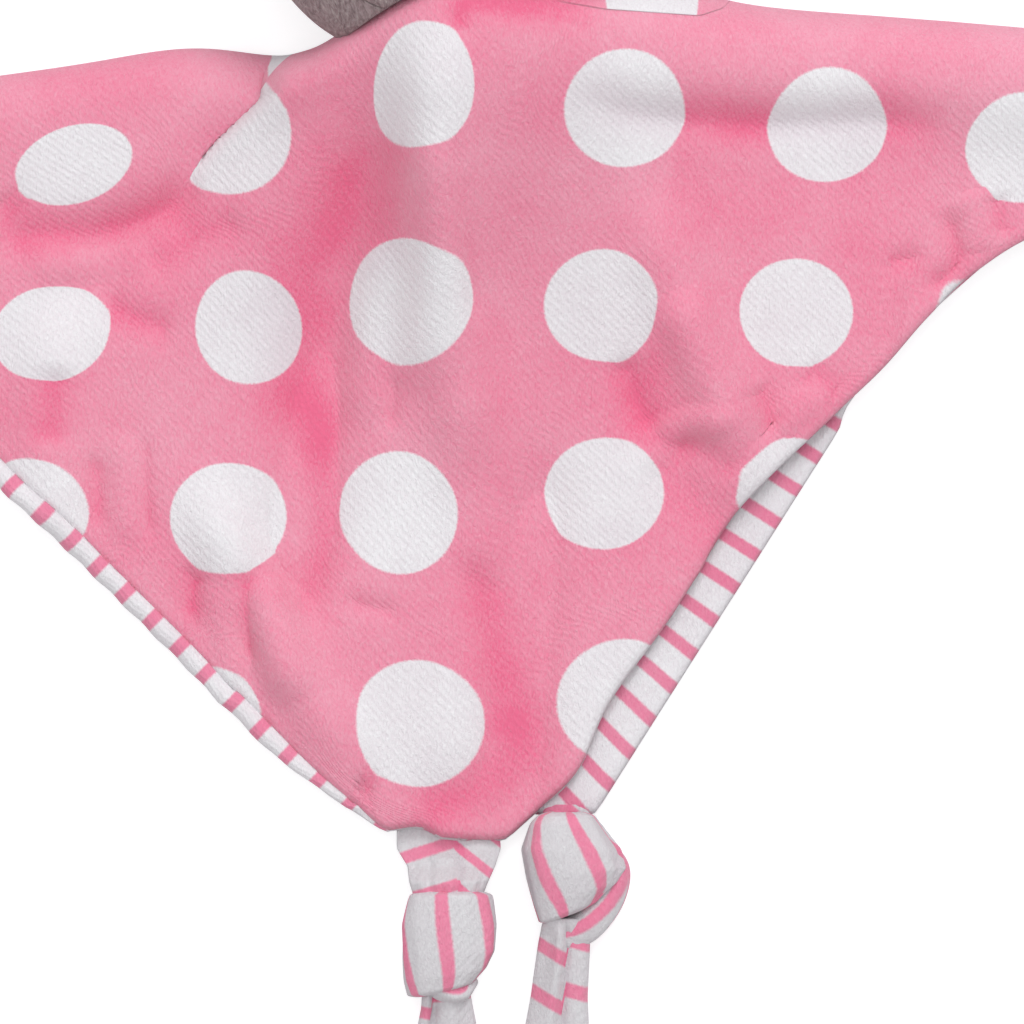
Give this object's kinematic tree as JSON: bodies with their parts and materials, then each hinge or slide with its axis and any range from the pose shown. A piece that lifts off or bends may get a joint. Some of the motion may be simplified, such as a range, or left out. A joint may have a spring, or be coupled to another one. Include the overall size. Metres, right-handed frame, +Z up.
{
  "type": "comfort blanket lovey",
  "caption": "Square lined comfort blanket, dotted outside and striped inside, folded corner to corner, with a stuffed bunny head sewn on and a knotted tab at each corner.",
  "frame": {"origin": "on the flat underside of the blanket's back half, directly below the line where the front half bends up, on the blanket's middle line", "axes": "+X to the blanket's right corner, +Y from the front corner to the head, +Z up from the table that the lovey lies on"},
  "size_m": [0.5357, 0.4351, 0.0565],
  "materials": {
    "dotted_velour": "short-pile polyester velour, pink with white dots",
    "striped_velour": "short-pile polyester velour, white with pink stripes",
    "grey_plush": "grey plush with a lying pile",
    "pink_velour": "plain pale pink velour",
    "dark_thread": "embroidery thread",
    "pink_thread": "satin-stitched embroidery thread",
    "filling": "loose polyester fibre"
  },
  "bodies": {
    "blanket": {"dotted_panel": "dotted_velour", "striped_backing": "striped_velour"},
    "front_half": {"dotted_flap": "dotted_velour", "striped_flap": "striped_velour"},
    "head": {"face_panel": "grey_plush", "head_back_panel": "grey_plush", "neck_closing_panel": "dotted_velour", "head_filling": "filling", "left_eye_stitch": "dark_thread", "right_eye_stitch": "dark_thread", "nose": "pink_thread", "mouth_stitch": "dark_thread"},
    "left_ear": {"left_ear_outer": "grey_plush", "left_ear_lining": "pink_velour"},
    "right_ear": {"right_ear_outer": "grey_plush", "right_ear_lining": "pink_velour"},
    "front_knot": {"front_tab": "striped_velour"},
    "back_knot": {"back_tab": "striped_velour"},
    "left_knot": {"left_tab": "striped_velour"},
    "right_knot": {"right_tab": "striped_velour"}
  },
  "joints": [
    {"name": "front_half_lift", "type": "hinge", "parent": "blanket", "child": "front_half", "pos_m": [0, 0, 0.0282], "axis": [-1, 0, 0], "range_deg": [0, 90]},
    {"name": "head_lift", "type": "hinge", "parent": "blanket", "child": "head", "pos_m": [-0.01, 0.047, 0.0484], "axis": [1, 0, 0], "range_deg": [0, 45]},
    {"name": "left_ear_flop", "type": "hinge", "parent": "head", "child": "left_ear", "pos_m": [-0.0362, 0.1279, 0.0246], "axis": [0.8291, 0.5591, 0], "range_deg": [0, 80]},
    {"name": "right_ear_flop", "type": "hinge", "parent": "head", "child": "right_ear", "pos_m": [0.0162, 0.1279, 0.0246], "axis": [0.8291, -0.5591, 0], "range_deg": [0, 80]},
    {"name": "front_knot_lift", "type": "hinge", "parent": "front_half", "child": "front_knot", "pos_m": [-0.0089, -0.1532, 0.0115], "axis": [-1, 0, 0], "range_deg": [0, 75]},
    {"name": "back_knot_lift", "type": "hinge", "parent": "blanket", "child": "back_knot", "pos_m": [0.024, -0.1448, 0.01], "axis": [-0.9945, 0.1045, 0], "range_deg": [0, 60]},
    {"name": "left_knot_lift", "type": "hinge", "parent": "blanket", "child": "left_knot", "pos_m": [-0.1785, 0.0158, 0.0135], "axis": [0, 1, 0], "range_deg": [0, 75]},
    {"name": "right_knot_lift", "type": "hinge", "parent": "blanket", "child": "right_knot", "pos_m": [0.1975, 0.0346, 0.0135], "axis": [0, -1, 0], "range_deg": [0, 75]}
  ]
}
